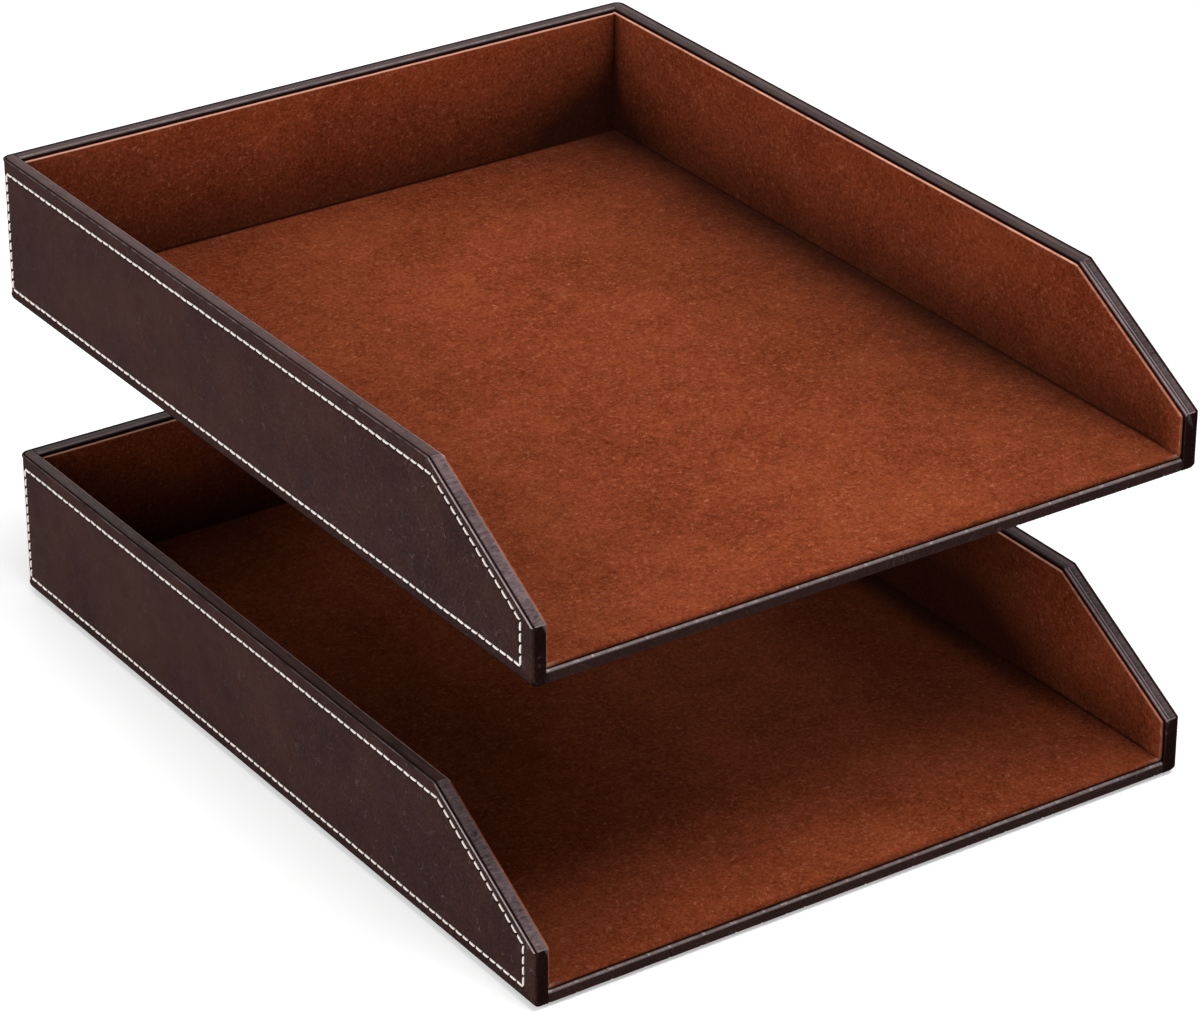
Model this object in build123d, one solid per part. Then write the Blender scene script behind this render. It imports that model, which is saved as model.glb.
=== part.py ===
from build123d import *
import math
import os

# A stack of two open letter trays of leather over board. X runs to the right along the width,
# Y from the open front to the back wall, and Z up. The origin is the centre of the lower tray,
# on the desk. All sizes are in millimetres.

# Outside of one tray
tray_width = 257.0
tray_depth = 330.0
tray_height = 53.5
front_height = 20.5
slope_run = 56.5
rear_corner_radius = 3.5
bottom_edge_radius = 2.5

# From one tray's underside to the next one's
tier_pitch = 113.5

# Sheets that the trays are made of
board_thickness = 3.2
cover_thickness = 0.6
band_thickness = 1.0
lining_thickness = 1.2
felt_thickness = 1.2

# Where the sheets stop and how their edges are rounded
lining_drop = 1.4
lining_setback = 1.2
floor_setback = 1.6
felt_inset = 8.0
lip_radius = 1.8
band_edge_bevel = 0.35
cover_edge_bevel = 0.4
lining_edge_bevel = 0.4

# Riser brackets, bent from flat steel
bracket_spacing = 76.0
bracket_width = 24.0
bracket_thickness = 3.0
bracket_bend_radius = 5.0
bracket_foot_height = 5.0
bracket_reach = 235.0
bracket_tip_radius = 8.0

# Screws and tee nuts that hold the brackets to the lower tray's back wall
screw_heights = (16.0, 40.0)
screw_shank_radius = 1.9
screw_head_radius = 3.8
screw_head_height = 2.2
screw_head_bevel = 0.8
screw_clearance = 0.2
nut_flange_width = 12.0
nut_flange_thickness = 1.0
nut_barrel_radius = 2.8
nut_bore_clearance = 0.06
nut_seat_clearance = 0.1

# Studs on the bracket arms and their sockets under the upper tray
stud_from_tip = 25.0
stud_radius = 4.0
stud_height = 2.4
stud_chamfer = 0.8
stud_rivet_radius = 2.0
stud_side_clearance = 0.5
stud_top_clearance = 0.4
cup_wall = 1.4
cup_roof = 0.8

# How far a cutting solid runs past the face that it opens
overrun = 4.0

# How far apart two places may lie and still count as the same place
tolerance = 0.01

# Sizes that follow from those above
panel_thickness = board_thickness + 2 * cover_thickness
wall_thickness = band_thickness + panel_thickness
half_width = tray_width / 2
half_depth = tray_depth / 2
inner_half_width = half_width - wall_thickness
inner_rear = half_depth - wall_thickness
slope_angle = math.atan2(tray_height - front_height, slope_run)
floor_top = panel_thickness + lining_thickness
lower_level = felt_thickness
upper_level = lower_level + tier_pitch
arm_top = upper_level - felt_thickness


def solid_between(low, high):
    """A rectangular solid from its lowest corner to its highest corner."""
    size = [b - a for a, b in zip(low, high)]
    centre = [(a + b) / 2 for a, b in zip(low, high)]
    return Pos(*centre) * Box(*size)


def wall_profile(bottom, rim_inset, front_inset, rear):
    """A side wall seen from the side, drawn in from the rim and the front."""
    front = -half_depth + front_inset
    top = tray_height - rim_inset
    rise = math.tan(slope_angle)
    drop = rim_inset / math.cos(slope_angle)
    slope_low = front_height + front_inset * rise - drop
    slope_back = -half_depth + (top - front_height + drop) / rise
    outline = Polyline(
        (front, bottom),
        (rear, bottom),
        (rear, top),
        (slope_back, top),
        (front, slope_low),
        close=True,
    )
    return Plane.YZ * make_face(outline)


def square_block(side_inset, rim_inset, front_inset):
    """The form that a whole tray fills, drawn in from its outside, with rounded rear corners."""
    profile = wall_profile(side_inset, rim_inset, front_inset, half_depth - side_inset)
    block = extrude(profile, half_width - side_inset, both=True)
    rear_edges = block.edges().filter_by(Axis.Z).group_by(Axis.Y)[-1]
    return fillet(rear_edges, rear_corner_radius - side_inset)


def soft_block(side_inset, rim_inset, front_inset):
    """The same form with its bottom edge rounded too, as leather turns under a board."""
    block = square_block(side_inset, rim_inset, front_inset)
    underside = block.faces().sort_by(Axis.Z)[0]
    turned_edges = underside.edges().sort_by(Axis.Y)[1:]
    return fillet(turned_edges, bottom_edge_radius - side_inset)


def runs_across(edge):
    """True for an edge that runs along the tray's width."""
    return abs(edge.tangent_at(0.5).X) > 1 - tolerance


def on_rim(edge, rim_inset=0.0):
    """True for an edge that lies along the top of a wall or along its slope."""
    middle = edge.position_at(0.5)
    slope_height = front_height + (middle.Y + half_depth) * math.tan(slope_angle)
    rim_height = min(tray_height - rim_inset, slope_height - rim_inset / math.cos(slope_angle))
    return abs(middle.Z - rim_height) < tolerance


def at_front(edge, front_inset=0.0):
    """True for an upright edge at the open front."""
    upright = abs(edge.tangent_at(0.5).Z) > 1 - tolerance
    return upright and abs(edge.position_at(0.5).Y + half_depth - front_inset) < tolerance


def make_outer_band():
    """Outer leather, one strip round three sides, turned under the walls."""
    band = soft_block(0, 0, 0) - soft_block(band_thickness, -overrun, -overrun)
    band -= solid_between(
        (-inner_half_width, -half_depth - overrun, -overrun),
        (inner_half_width, inner_rear, band_thickness + overrun),
    )
    rim_edges = [
        edge for edge in band.edges()
        if on_rim(edge) and edge.length > band_thickness + tolerance
    ]
    return chamfer(rim_edges, band_edge_bevel)


def wall_space(x_ends, y_ends):
    """Everything between two widths and two depths, over the whole height of a tray."""
    low = (min(x_ends), min(y_ends), -overrun)
    high = (max(x_ends), max(y_ends), tray_height + overrun)
    return solid_between(low, high)


def make_side_panel(side):
    """Board and leather cover of the left (-1) or right (+1) wall, which runs the whole depth."""
    outside = side * (half_width + overrun)
    depths = (-half_depth - overrun, half_depth + overrun)
    whole = soft_block(band_thickness, 0, 0)
    whole &= wall_space((side * inner_half_width, outside), depths)
    board = square_block(band_thickness + cover_thickness, cover_thickness, cover_thickness)
    board &= wall_space((side * (inner_half_width + cover_thickness), outside), depths)
    rim_edges = [
        edge for edge in whole.edges()
        if (on_rim(edge) and not runs_across(edge)) or at_front(edge)
    ]
    return board, chamfer(rim_edges, cover_edge_bevel) - board


def make_back_panel():
    """Board and leather cover of the back wall, which stands between the side walls."""
    outside = half_depth + overrun
    board_end = inner_half_width - cover_thickness
    whole = soft_block(band_thickness, 0, 0)
    whole &= wall_space((-inner_half_width, inner_half_width), (inner_rear, outside))
    board = square_block(band_thickness + cover_thickness, cover_thickness, 0)
    board &= wall_space((-board_end, board_end), (inner_rear + cover_thickness, outside))
    rim_edges = [edge for edge in whole.edges() if on_rim(edge) and runs_across(edge)]
    return board, chamfer(rim_edges, cover_edge_bevel) - board


def make_base_panel():
    """Board and cover of the base. The cover's rounded front edge is the tray's lip."""
    whole = solid_between(
        (-inner_half_width, -half_depth, 0),
        (inner_half_width, inner_rear, panel_thickness),
    )
    board_end = inner_half_width - cover_thickness
    board = solid_between(
        (-board_end, -half_depth + cover_thickness, cover_thickness),
        (board_end, inner_rear - cover_thickness, panel_thickness - cover_thickness),
    )
    whole = fillet(whole.edges().filter_by(Axis.X).group_by(Axis.Y)[0], lip_radius)
    board = fillet(board.edges().filter_by(Axis.X).group_by(Axis.Y)[0], lip_radius - cover_thickness)
    return board, whole - board


def make_side_lining(side):
    """Suede-covered card on the inside of a side wall, standing on the floor lining."""
    profile = wall_profile(floor_top, lining_drop, lining_setback, inner_rear)
    lining = extrude(profile, lining_thickness)
    outer_face = inner_half_width if side > 0 else -inner_half_width + lining_thickness
    lining = Pos(outer_face - lining_thickness, 0, 0) * lining
    edges = [
        edge for edge in lining.edges()
        if (on_rim(edge, lining_drop) and not runs_across(edge))
        or at_front(edge, lining_setback)
    ]
    return chamfer(edges, lining_edge_bevel)


def make_back_lining():
    """Suede-covered card on the inside of the back wall, between the side linings."""
    half_length = inner_half_width - lining_thickness
    lining = solid_between(
        (-half_length, inner_rear - lining_thickness, floor_top),
        (half_length, inner_rear, tray_height - lining_drop),
    )
    return chamfer(lining.edges().filter_by(Axis.X).group_by(Axis.Z)[-1], lining_edge_bevel)


def make_floor_lining():
    """Suede-covered card on the base, stopping just behind the lip."""
    lining = solid_between(
        (-inner_half_width, -half_depth + floor_setback, panel_thickness),
        (inner_half_width, inner_rear, floor_top),
    )
    front_top = lining.edges().filter_by(Axis.X).group_by(Axis.Y)[0].sort_by(Axis.Z)[-1]
    return chamfer(front_top, lining_edge_bevel)


def make_felt():
    """Felt panel under the base, which the tray rests on."""
    return solid_between(
        (-half_width + felt_inset, -half_depth + felt_inset, -felt_thickness),
        (half_width - felt_inset, half_depth - felt_inset, 0),
    )


def make_tray():
    """Every piece of one tray, with the leather's underside at height zero."""
    pieces = {"outer_band": make_outer_band()}
    pieces["base_board"], pieces["base_cover"] = make_base_panel()
    pieces["left_board"], pieces["left_cover"] = make_side_panel(-1)
    pieces["right_board"], pieces["right_cover"] = make_side_panel(1)
    pieces["back_board"], pieces["back_cover"] = make_back_panel()
    pieces["floor_lining"] = make_floor_lining()
    pieces["left_lining"] = make_side_lining(-1)
    pieces["right_lining"] = make_side_lining(1)
    pieces["back_lining"] = make_back_lining()
    pieces["underside_felt"] = make_felt()
    return pieces


def along_y(x, z, radius, start, end):
    """A round rod or hole along Y from one depth to another."""
    rod = Plane.XZ * Circle(radius)
    return Pos(x, start, z) * extrude(rod, start - end)


def upright(x, y, radius, bottom, top):
    """A round rod or hole along Z from one height to another."""
    return Pos(x, y, (bottom + top) / 2) * Cylinder(radius, top - bottom)


def make_bracket(x):
    """Upright behind the lower tray, bent forward into an arm under the upper tray."""
    back = half_depth + bracket_thickness
    tip = half_depth - bracket_reach
    outline = Polyline(
        (back, bracket_foot_height),
        (back, arm_top),
        (tip, arm_top),
        (tip, arm_top - bracket_thickness),
        (half_depth, arm_top - bracket_thickness),
        (half_depth, bracket_foot_height),
        close=True,
    )
    strip = extrude(Plane.YZ * make_face(outline), bracket_width / 2, both=True)
    cross_edges = strip.edges().filter_by(Axis.X)
    high_edges = [edge for edge in cross_edges if edge.center().Z > arm_top / 2]
    inner_bend = [edge for edge in high_edges if abs(edge.center().Y - half_depth) < tolerance]
    outer_bend = [edge for edge in high_edges if abs(edge.center().Y - back) < tolerance]
    strip = fillet(inner_bend, bracket_bend_radius)
    strip = fillet(outer_bend, bracket_bend_radius + bracket_thickness)
    tip_edges = strip.edges().filter_by(Axis.Z).group_by(Axis.Y)[0]
    strip = fillet(tip_edges, bracket_tip_radius)
    foot_edges = strip.edges().filter_by(Axis.Y).group_by(Axis.Z)[0]
    strip = fillet(foot_edges, bracket_tip_radius)
    return Pos(x, 0, 0) * strip


def make_screw(x, z):
    """Button-head screw through the bracket and the back wall into its tee nut."""
    face = half_depth + bracket_thickness
    head = along_y(x, z, screw_head_radius, face, face + screw_head_height)
    rim = head.edges().filter_by(GeomType.CIRCLE).sort_by(Axis.Y)[-1]
    head = chamfer(rim, screw_head_bevel)
    shank_end = half_depth - band_thickness - cover_thickness - board_thickness
    return head + along_y(x, z, screw_shank_radius, shank_end, face)


def make_nut(x, z, clearance=0.0):
    """Tee nut whose square flange is let into the inner face of the back board."""
    board_front = inner_rear + cover_thickness
    flange_back = board_front + nut_flange_thickness
    board_back = board_front + board_thickness
    reach = nut_flange_width / 2 + clearance
    flange = solid_between(
        (x - reach, board_front, z - reach),
        (x + reach, flange_back + clearance, z + reach),
    )
    return flange + along_y(x, z, nut_barrel_radius + clearance, board_front, board_back)


def make_stud(x, y):
    """Stud riveted through a bracket arm, which keeps the upper tray in place."""
    head = upright(x, y, stud_radius, arm_top, arm_top + stud_height)
    head = chamfer(head.edges().filter_by(GeomType.CIRCLE).sort_by(Axis.Z)[-1], stud_chamfer)
    return head + upright(x, y, stud_rivet_radius, arm_top - bracket_thickness, arm_top)


def cup_top():
    """Height of the roof of a stud's socket."""
    return arm_top + stud_height + stud_top_clearance + cup_roof


def make_cup(x, y):
    """Plastic cup in the upper tray's base that drops over a stud."""
    bore = stud_radius + stud_side_clearance
    body = upright(x, y, bore + cup_wall, arm_top, cup_top())
    return body - upright(x, y, bore, arm_top, cup_top() - cup_roof)


tray = make_tray()
nodes = {}
for level_name, level in (("lower", lower_level), ("upper", upper_level)):
    for name, piece in tray.items():
        nodes[level_name + "_" + name] = Pos(0, 0, level) * piece

bracket_places = {"left": -bracket_spacing / 2, "right": bracket_spacing / 2}
screw_places = [(x, lower_level + z) for x in bracket_places.values() for z in screw_heights]
stud_depth = half_depth - bracket_reach + stud_from_tip
stud_places = [(x, stud_depth) for x in bracket_places.values()]

# Holes for the screws and seats for the tee nuts
hole_radius = screw_shank_radius + screw_clearance
for x, z in screw_places:
    skin_hole = along_y(x, z, hole_radius, half_depth - band_thickness - cover_thickness, half_depth)
    nodes["lower_outer_band"] -= skin_hole
    nodes["lower_back_cover"] -= skin_hole
    nodes["lower_back_board"] -= make_nut(x, z, nut_seat_clearance)

# Holes for the cups in the upper tray's base
for x, y in stud_places:
    seat = upright(x, y, stud_radius + stud_side_clearance + cup_wall, arm_top, cup_top())
    for name in ("upper_underside_felt", "upper_base_cover", "upper_base_board"):
        nodes[name] -= seat

for name, x in bracket_places.items():
    bracket = make_bracket(x)
    for z in [z for place, z in screw_places if place == x]:
        bracket -= along_y(x, z, hole_radius, half_depth, half_depth + bracket_thickness)
    bracket -= upright(x, stud_depth, stud_rivet_radius, arm_top - bracket_thickness, arm_top)
    nodes[name + "_riser_bracket"] = bracket

nut_bore = screw_shank_radius + nut_bore_clearance
nodes["bracket_screws"] = Compound([make_screw(x, z) for x, z in screw_places])
nodes["bracket_nuts"] = Compound([
    make_nut(x, z) - along_y(x, z, nut_bore, inner_rear, half_depth) for x, z in screw_places
])
nodes["locating_studs"] = Compound([make_stud(x, y) for x, y in stud_places])
nodes["stud_sockets"] = Compound([make_cup(x, y) for x, y in stud_places])

os.makedirs("parts", exist_ok=True)
for name, shape in nodes.items():
    export_step(shape, "parts/" + name + ".step")
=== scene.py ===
import math
import bmesh
import bpy
import numpy as np
from mathutils import Matrix, Vector


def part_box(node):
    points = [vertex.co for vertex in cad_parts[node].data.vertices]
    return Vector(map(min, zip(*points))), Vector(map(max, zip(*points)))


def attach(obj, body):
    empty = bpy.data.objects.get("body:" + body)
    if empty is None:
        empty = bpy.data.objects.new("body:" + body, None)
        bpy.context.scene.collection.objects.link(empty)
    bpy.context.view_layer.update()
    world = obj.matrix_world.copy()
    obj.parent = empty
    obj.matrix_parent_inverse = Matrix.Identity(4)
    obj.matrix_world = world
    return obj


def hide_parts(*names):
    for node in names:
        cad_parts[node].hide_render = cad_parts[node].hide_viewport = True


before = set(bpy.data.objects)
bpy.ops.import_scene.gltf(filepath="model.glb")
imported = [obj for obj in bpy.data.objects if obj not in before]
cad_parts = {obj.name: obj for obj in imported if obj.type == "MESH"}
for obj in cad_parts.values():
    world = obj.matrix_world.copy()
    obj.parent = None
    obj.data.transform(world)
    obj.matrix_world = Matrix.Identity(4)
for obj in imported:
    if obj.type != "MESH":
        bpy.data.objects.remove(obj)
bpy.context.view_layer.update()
scene = bpy.context.scene

# One millimetre in metres: shapes are worked out in millimetres and scaled when they are made
MM = 0.001

# Sizes of one tray, read from the CAD parts in model.glb
band_low, band_high = (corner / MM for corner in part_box("lower_outer_band"))
cover_low, cover_high = (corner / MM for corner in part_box("lower_left_cover"))
base_low, base_high = (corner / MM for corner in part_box("lower_base_cover"))
floor_low, floor_high = (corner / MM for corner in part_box("lower_floor_lining"))
wall_lining_low, wall_lining_high = (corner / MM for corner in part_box("lower_left_lining"))
half_width = band_high.x
half_depth = band_high.y
tray_height = band_high.z - band_low.z
lower_level = band_low.z
inner_half_width = -cover_high.x
wall_thickness = half_width - inner_half_width
band_thickness = cover_low.x - band_low.x
inner_rear = base_high.y
panel_thickness = base_high.z - base_low.z
floor_top = floor_high.z - lower_level
lining_thickness = wall_lining_high.x - wall_lining_low.x
lining_top = wall_lining_high.z - lower_level
lining_front = wall_lining_low.y
floor_front = floor_low.y
levels = {"lower": lower_level, "upper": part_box("upper_outer_band")[0].z / MM}

# Outline of the walls and of the lip
front_height = 20.5
slope_run = 56.5
slope_angle = math.atan2(tray_height - front_height, slope_run)
rim_kink = slope_run - half_depth
corner_radius = 3.5
bottom_radius = 2.5
rim_turn = 6.0
lip_radius = 0.9
lip_crest = 1.05
lip_shoulder = 1.35
lip_groove = 0.42
floor_setback = floor_front + half_depth

# Way round the outside of a tray, from its left front corner: each side, each corner and the back
straight = 2 * half_depth - corner_radius
arc = corner_radius * math.pi / 2
back = 2 * (half_width - corner_radius)
whole = 2 * straight + 2 * arc + back

# Outer leather: its face lies a little in from its beaded rim and its rolled bottom edge
face_depth = 0.25
bead_width = 1.3
front_edge_radius = 0.8

# Grain of the leather
grain_size = 0.8
grain_depth = 0.012

# Screws that hold the brackets
screw_head_radius = 3.8
screw_head_height = 2.2
screw_head_flat = 1.9
screw_shank_radius = 1.9
screw_socket_reach = 1.25

# Saddle stitching
seam_bottom = 4.7
seam_top = tray_height - 5.2
seam_from_front = 6.7
seam_from_rear = 3.8
seam_from_slope = 3.75
back_seam_from_side = 6.5
stitch_pitch = 4.0
stitch_gap = 0.76
stitch_half_width = 0.4
stitch_half_height = 0.4
columns_per_stitch = 4
channel_depth = 0.22
channel_reach = 0.85
hole_depth = 0.28
hole_reach = 0.5
# Painted shade laid along the stitch channel, at its darkest
seam_painted_shade = 0.95


def ripple(a, b, seed, longest, shortest, waves=7):
    """Smooth unevenness from -1 to 1 over a surface, as a sum of seeded sine waves."""
    rng = np.random.default_rng(seed)
    total = np.zeros(np.broadcast(a, b).shape)
    for _ in range(waves):
        length = math.exp(rng.uniform(math.log(shortest), math.log(longest)))
        angle, phase = rng.uniform(0, 2 * math.pi, 2)
        run = a * math.cos(angle) + b * math.sin(angle)
        total += np.sin(2 * math.pi * run / length + phase)
    return total / waves


def smooth_step(value):
    """0 below 0, 1 above 1, and a smooth rise between them."""
    t = np.clip(value, 0, 1)
    return t * t * (3 - 2 * t)


def edge_round(distance, radius):
    """How far a rounded edge lies in from its square form, at a distance from that edge."""
    inside = np.clip(radius - distance, 0, radius)
    return radius - np.sqrt(radius * radius - inside * inside)


def slope_height(along):
    """Height of a side wall's slope at a depth along the tray."""
    return front_height + (along + half_depth) * math.tan(slope_angle)


class Shape:
    """Points and faces of one piece, in a tray's own millimetres, with wear, painted highlight and painted
    shade on each point.
    """

    def __init__(self):
        self.points = []
        self.faces = []
        self.finishes = []
        self.marks = {"wear_and_highlight": [], "painted_shade": []}
        self.count = 0

    def add_points(self, points, wear_and_highlight=0.0, painted_shade=0.0):
        """Takes an array of points and returns their numbers in the same layout."""
        layout = points.shape[:-1]
        self.points.append(points.reshape(-1, 3))
        for key, value in (("wear_and_highlight", wear_and_highlight), ("painted_shade", painted_shade)):
            self.marks[key].append(np.broadcast_to(value, layout).reshape(-1))
        start = self.count
        self.count += len(self.points[-1])
        return np.arange(start, self.count).reshape(layout)

    def add_loft(self, points, wear_and_highlight=0.0, painted_shade=0.0, finish=0, end_finish=0, flip=False):
        """Adds closed sections in a row, points[station, corner], with an end face on each end.
        finish is the number of each face's finish, in the same layout, and flip turns the faces over."""
        numbers = self.add_points(points, wear_and_highlight, painted_shade)
        ahead = np.roll(numbers, -1, axis=1)
        quads = np.stack([numbers[:-1], ahead[:-1], ahead[1:], numbers[1:]], axis=-1)
        ends = [numbers[0][::-1], numbers[-1]]
        if flip:
            quads = quads[..., ::-1]
            ends = [face[::-1] for face in ends]
        self.faces += quads.reshape(-1, 4).tolist() + [face.tolist() for face in ends]
        self.finishes += np.broadcast_to(finish, quads.shape[:2]).reshape(-1).tolist()
        self.finishes += [end_finish, end_finish]

    def add_cavity(self, node, level):
        """Adds the faces of a CAD node turned inside out, as the hollow that it lies in."""
        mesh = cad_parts[node].data
        points = np.array([vertex.co for vertex in mesh.vertices]) / MM
        numbers = self.add_points(points - [0, 0, level])
        self.faces += [numbers[list(face.vertices)][::-1].tolist() for face in mesh.polygons]
        self.finishes += [0] * len(mesh.polygons)


def lofted(x, y, z, wear_and_highlight, painted_shade, finish=0, end_finish=0, flip=False):
    """A shape of one loft, from the places of its corners."""
    shape = Shape()
    points = np.stack(np.broadcast_arrays(x, y, z), axis=-1)
    shape.add_loft(points, np.clip(wear_and_highlight, 0, 1), np.clip(painted_shade, 0, 1), finish, end_finish, flip)
    return shape


def join_rows(station, parts):
    """Rows that lie side by side, from parts whose values are arrays or single numbers. It gives one array
    for each of a part's values. station is a column with one value for each station."""
    spread = [np.broadcast_arrays(station, *part)[1:] for part in parts]
    return [np.concatenate(rows, axis=1) for rows in zip(*spread)]


def add_object(name, data):
    """A Blender object in the scene."""
    made = bpy.data.objects.new(name, data)
    scene.collection.objects.link(made)
    return made


def make_piece(name, shape, level, finishes, body, replaces=(), sharp_angle=50):
    """Turns a shape into a Blender object that rides on its body."""
    points = np.concatenate(shape.points) + [0, 0, level]
    mesh = bpy.data.meshes.new(name)
    mesh.from_pydata((points * MM).tolist(), [], shape.faces)
    for key, values in shape.marks.items():
        attribute = mesh.attributes.new(key, "FLOAT", "POINT")
        attribute.data.foreach_set("value", np.concatenate(values).astype(np.float32))
    for finish in finishes:
        mesh.materials.append(finish)
    mesh.polygons.foreach_set("material_index", shape.finishes)
    piece = add_object(name, mesh)
    mesh.shade_smooth()
    mesh.set_sharp_from_angle(angle=math.radians(sharp_angle))
    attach(piece, body)
    if replaces:
        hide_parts(*replaces)
    return piece


# Shader helpers
def new_material(name):
    """A material with its node tree and its principled shader."""
    material = bpy.data.materials.new(name)
    material.use_nodes = True
    tree = material.node_tree
    return material, tree, tree.nodes["Principled BSDF"]


def feed(tree, node, inputs):
    """Sets a node's inputs, each to a plain value or to what a socket gives."""
    for key, value in inputs.items():
        if isinstance(value, bpy.types.NodeSocket):
            tree.links.new(value, node.inputs[key])
        else:
            node.inputs[key].default_value = value


def add_node(tree, kind, output, inputs, **settings):
    """Adds a node and returns one of its outputs."""
    made = tree.nodes.new("ShaderNode" + kind)
    for key, value in settings.items():
        setattr(made, key, value)
    feed(tree, made, inputs)
    return made.outputs[output]


def object_place(tree):
    """Object coordinates in millimetres."""
    place = add_node(tree, "TexCoord", "Object", {})
    return add_node(tree, "VectorMath", "Vector", {0: place, "Scale": 1 / MM}, operation="SCALE")


def noise(tree, place, size, detail=3.0, roughness=0.55, distortion=0.0):
    """Noise whose patches are about the given size in millimetres."""
    inputs = {"Vector": place, "Scale": 1 / size, "Detail": detail, "Roughness": roughness}
    return add_node(tree, "TexNoise", "Fac", {**inputs, "Distortion": distortion})


def math_node(tree, operation, first, second):
    """A sum, product or the like of two values or sockets."""
    return add_node(tree, "Math", "Value", {0: first, 1: second}, operation=operation)


def remap(tree, value, low, high, new_low, new_high):
    """Spreads a value's range onto another range, cut off at its ends."""
    ends = {"From Min": low, "From Max": high, "To Min": new_low, "To Max": new_high}
    return add_node(tree, "MapRange", "Result", {"Value": value, **ends})


def patches(tree, place, size, low, high, detail=3.0, roughness=0.55):
    """Noise spread onto the whole range from low to high."""
    return remap(tree, noise(tree, place, size, detail, roughness), 0.3, 0.7, low, high)


def mix_colour(tree, factor, first, second):
    """A colour between two, by a factor from 0 to 1. The node's colours are inputs 6 and 7 and output 2."""
    return add_node(tree, "Mix", 2, {"Factor": factor, 6: first, 7: second}, data_type="RGBA")


def bump(tree, height, depth_mm, normal=None):
    """Surface relief of a given depth in millimetres from a height between 0 and 1."""
    under = {} if normal is None else {"Normal": normal}
    return add_node(tree, "Bump", "Normal", {"Distance": depth_mm * MM, "Height": height, **under})


def srgb(red, green, blue):
    """Linear colour from the 0 to 255 values that a screen shows."""
    shares = [channel / 255 for channel in (red, green, blue)]
    linear = [s / 12.92 if s <= 0.04045 else ((s + 0.055) / 1.055) ** 2.4 for s in shares]
    return (*linear, 1.0)


def mark(tree, key):
    """The wear and painted highlight mark, or the painted shade mark, stored on a piece's points."""
    return add_node(tree, "Attribute", "Fac", {}, attribute_name=key)


def use_share(tree, place):
    """How much a surface shows its use: most at the open front, and little at the back."""
    depth = add_node(tree, "SeparateXYZ", "Y", {"Vector": place})
    return remap(tree, depth, -160.0, 60.0, 1.7, 0.5)


def strokes(tree, place, size, width, most):
    """Short curved strokes, as a share from 0 to most."""
    swirl = math_node(tree, "SUBTRACT", noise(tree, place, size, 1.0, 0.4, 1.4), 0.5)
    ridge = remap(tree, math_node(tree, "ABSOLUTE", swirl, 0.0), 0.0, width, 1.0, 0.0)
    broken = remap(tree, noise(tree, place, size * 0.8, 2.0), 0.5, 0.62, 0.0, most)
    return math_node(tree, "MULTIPLY", ridge, broken)


def make_leather(name, dark, light, roughness, specular, ribs=None, coat=0.0):
    """Fine-grained dyed leather, mottled, paler where it is worn and where highlight is painted, and darker
    with painted shade. ribs is the stretch that draws its grain out into fine ribs."""
    material, tree, shader = new_material(name)
    place = grain_place = object_place(tree)
    if ribs:
        grain_place = add_node(tree, "VectorMath", "Vector", {0: place, 1: ribs}, operation="MULTIPLY")
    clouds = patches(tree, place, 24.0, 0.0, 0.6, 4.0)
    flecks = patches(tree, grain_place, 1.0, -0.5, 0.5, 3.0, 0.7)
    marks = strokes(tree, place, 6.0, 0.02, 0.13)
    if not ribs:
        flecks = math_node(tree, "MULTIPLY", flecks, use_share(tree, place))
        marks = math_node(tree, "MULTIPLY", marks, use_share(tree, place))
    blend = remap(tree, math_node(tree, "ADD", clouds, flecks), -0.3, 0.9, 0.0, 1.0)
    colour = mix_colour(tree, blend, dark, light)
    colour = mix_colour(tree, marks, colour, wear_and_highlight_colour)
    # The wear and painted highlight mark, broken up by noise, mixes in the pale colour; the painted shade
    # mark mixes in the shade colour
    wear_and_highlight_breakup = remap(tree, noise(tree, place, 2.2, 4.0, 0.7), 0.35, 0.65, 0.5, 1.0)
    colour = mix_colour(tree, math_node(tree, "MULTIPLY", mark(tree, "wear_and_highlight"), wear_and_highlight_breakup), colour, wear_and_highlight_colour)
    colour = mix_colour(tree, mark(tree, "painted_shade"), colour, leather_painted_shade_colour)
    cells = {"Vector": grain_place, "Scale": 1 / grain_size, "Randomness": 0.9}
    pores = add_node(tree, "TexVoronoi", "Distance", cells, feature="SMOOTH_F1")
    pores = math_node(tree, "ADD", pores, noise(tree, grain_place, grain_size * 0.4, 2.0))
    normal = bump(tree, pores, grain_depth * (2.5 if ribs else 1))
    normal = bump(tree, noise(tree, place, 7.0, 3.0), grain_depth * 5, normal)
    shine = patches(tree, place, 5.0, roughness - 0.05, roughness + 0.07)
    look = {"Base Color": colour, "Normal": normal, "Roughness": shine, "Specular IOR Level": specular}
    feed(tree, shader, {**look, "Coat Weight": coat, "Coat Roughness": 0.22})
    return material


def make_suede(name, dark, light, fleck, edge, deep):
    """Napped suede with short curved strokes in its nap, painted highlight on cut edges and painted shade in
    corners.
    """
    material, tree, shader = new_material(name)
    place = object_place(tree)
    blend = patches(tree, place, 42.0, 0.35, 0.65, 2.0)
    for size, reach, detail in ((7.0, 0.14, 3.0), (1.3, 0.42, 4.0), (0.55, 0.26, 2.0)):
        blend = math_node(tree, "ADD", blend, patches(tree, place, size, -reach, reach, detail, 0.7))
    colour = mix_colour(tree, remap(tree, blend, 0.0, 1.0, 0.0, 1.0), dark, light)
    colour = mix_colour(tree, strokes(tree, place, 2.6, 0.045, 0.52), colour, fleck)
    # edge is the colour of painted highlight along cut edges, and deep the colour of painted shade
    colour = mix_colour(tree, mark(tree, "wear_and_highlight"), colour, edge)
    colour = mix_colour(tree, mark(tree, "painted_shade"), colour, deep)
    normal = bump(tree, noise(tree, place, 0.5, 3.0, 0.7), 0.10)
    normal = bump(tree, noise(tree, place, 2.0, 3.0, 0.6), 0.22, normal)
    feed(tree, shader, {
        "Base Color": colour, "Normal": normal, "Roughness": 1.0, "Specular IOR Level": 0.05,
        "Sheen Weight": 0.04, "Sheen Roughness": 0.5, "Sheen Tint": srgb(225, 150, 110),
    })
    return material


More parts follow.
